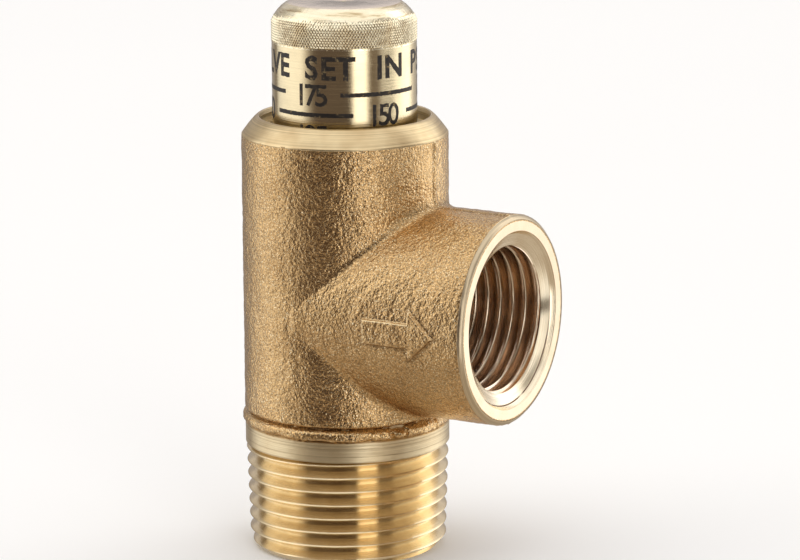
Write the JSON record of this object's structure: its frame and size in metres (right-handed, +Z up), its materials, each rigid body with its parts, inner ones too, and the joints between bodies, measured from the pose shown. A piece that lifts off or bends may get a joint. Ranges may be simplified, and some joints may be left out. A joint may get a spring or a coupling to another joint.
{
  "type": "pressure relief valve",
  "caption": "Side-outlet brass pressure relief valve with a male pipe-thread inlet, a female pipe-thread outlet and a knurled screw cap that sets the opening pressure.",
  "frame": {"origin": "centre of the inlet's end face, on the axis that the inlet, the seat, the spring and the cap share", "axes": "+Z up from the inlet along the valve's axis to the cap, +X out of the side outlet"},
  "size_m": [0.0382, 0.0275, 0.0719],
  "materials": {
    "cast_brass": "sand cast, with turned faces",
    "turned_brass": "turned and polished",
    "steel": "hardened, plain",
    "stainless_steel": "drawn wire, bright",
    "seat_rubber": "moulded, matt"
  },
  "bodies": {
    "housing": {"valve_body": "cast_brass", "pressure_spring": "stainless_steel"},
    "spring_seat": {"spring_button": "turned_brass", "thrust_washer": "steel"},
    "cap": {"adjusting_cap": "turned_brass"},
    "poppet": {"disc_holder": "turned_brass", "seat_disc": "seat_rubber", "disc_washer": "stainless_steel", "disc_screw": "stainless_steel"}
  },
  "joints": [
    {"name": "cap_travel", "type": "slide", "parent": "housing", "child": "spring_seat", "axis": [0, 0, 1], "range_m": [-0.00408, 0.00952], "deforming": ["pressure_spring"]},
    {"name": "cap_turn", "type": "hinge", "parent": "spring_seat", "child": "cap", "pos_m": [0, 0, 0.0571], "axis": [0, 0, 1], "range_deg": [-810, 1890]},
    {"name": "poppet_lift", "type": "slide", "parent": "housing", "child": "poppet", "axis": [0, 0, 1], "range_m": [0, 0.003], "stiffness_N_per_m": 8400, "springref_m": -0.0002, "deforming": ["pressure_spring"]}
  ],
  "couplings": [
    {"joint": "cap_turn", "follows": "cap_travel", "rad_per_m": 3463.2}
  ]
}
